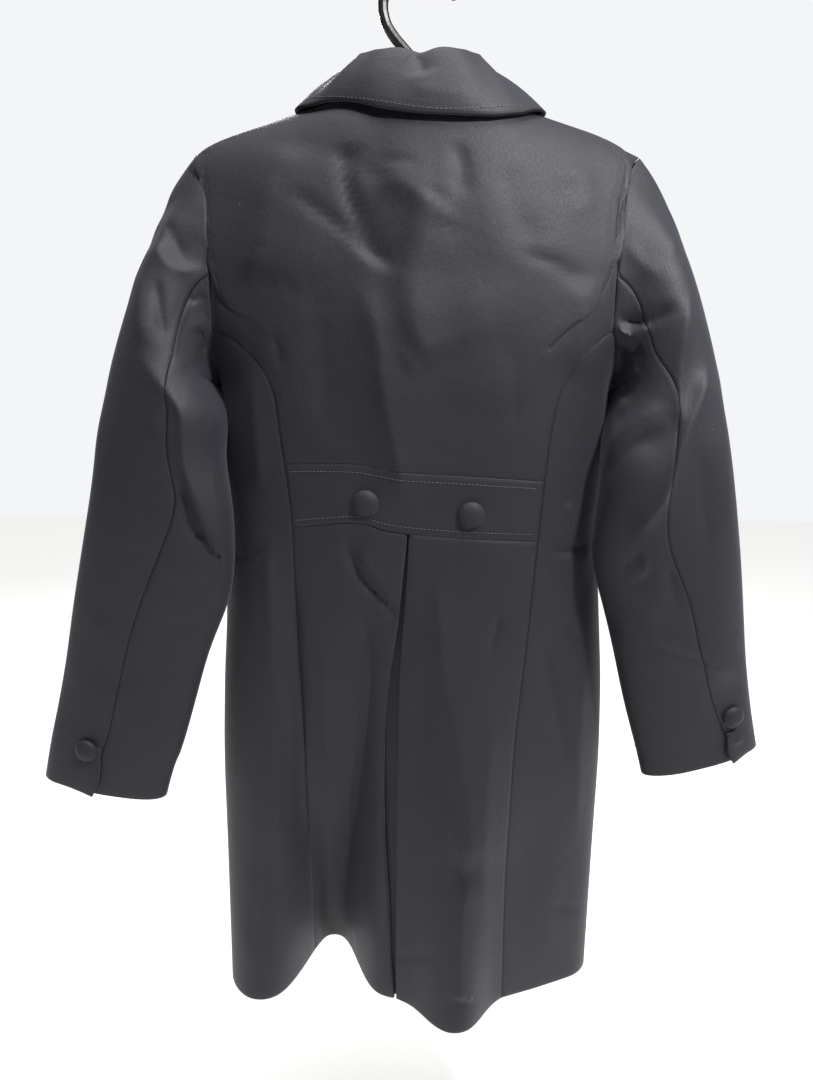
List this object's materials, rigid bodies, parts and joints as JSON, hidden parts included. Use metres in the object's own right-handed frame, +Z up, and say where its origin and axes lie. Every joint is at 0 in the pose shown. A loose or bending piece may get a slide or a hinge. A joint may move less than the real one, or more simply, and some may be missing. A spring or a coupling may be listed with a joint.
{
  "type": "winter coat on hanger",
  "caption": "Closed knee-length winter coat with collar, shaped back, waist band, box pleat, open sleeves and buttoned cuffs, hung on a plain plastic hanger.",
  "frame": {"origin": "inner top of the hanger's hook, where the rail bears", "axes": "+X to the wearer's right, +Y from the back of the coat to its front, +Z up"},
  "size_m": [0.7269, 0.2114, 1.0062],
  "materials": {
    "cloth": "dark navy cotton with a soft sheen",
    "button": "covered in the coat's own cloth",
    "plastic": "black, satin"
  },
  "bodies": {
    "root": {"back_upper": "cloth", "waist_band": "cloth", "pleat_underlay": "cloth", "back_skirt_left": "cloth", "back_skirt_right": "cloth", "side_back_left": "cloth", "side_back_right": "cloth", "front_left": "cloth", "front_right": "cloth", "sleeve_upper_left": "cloth", "sleeve_upper_right": "cloth", "sleeve_under_left": "cloth", "sleeve_under_right": "cloth", "collar": "cloth", "button_band_left": "button", "button_band_right": "button", "button_cuff_left": "button", "button_cuff_right": "button", "button_front_1": "button", "button_front_2": "button", "button_front_3": "button", "button_front_4": "button", "button_front_5": "button", "hanger_arms": "plastic", "hanger_hook": "plastic"}
  },
  "joints": []
}
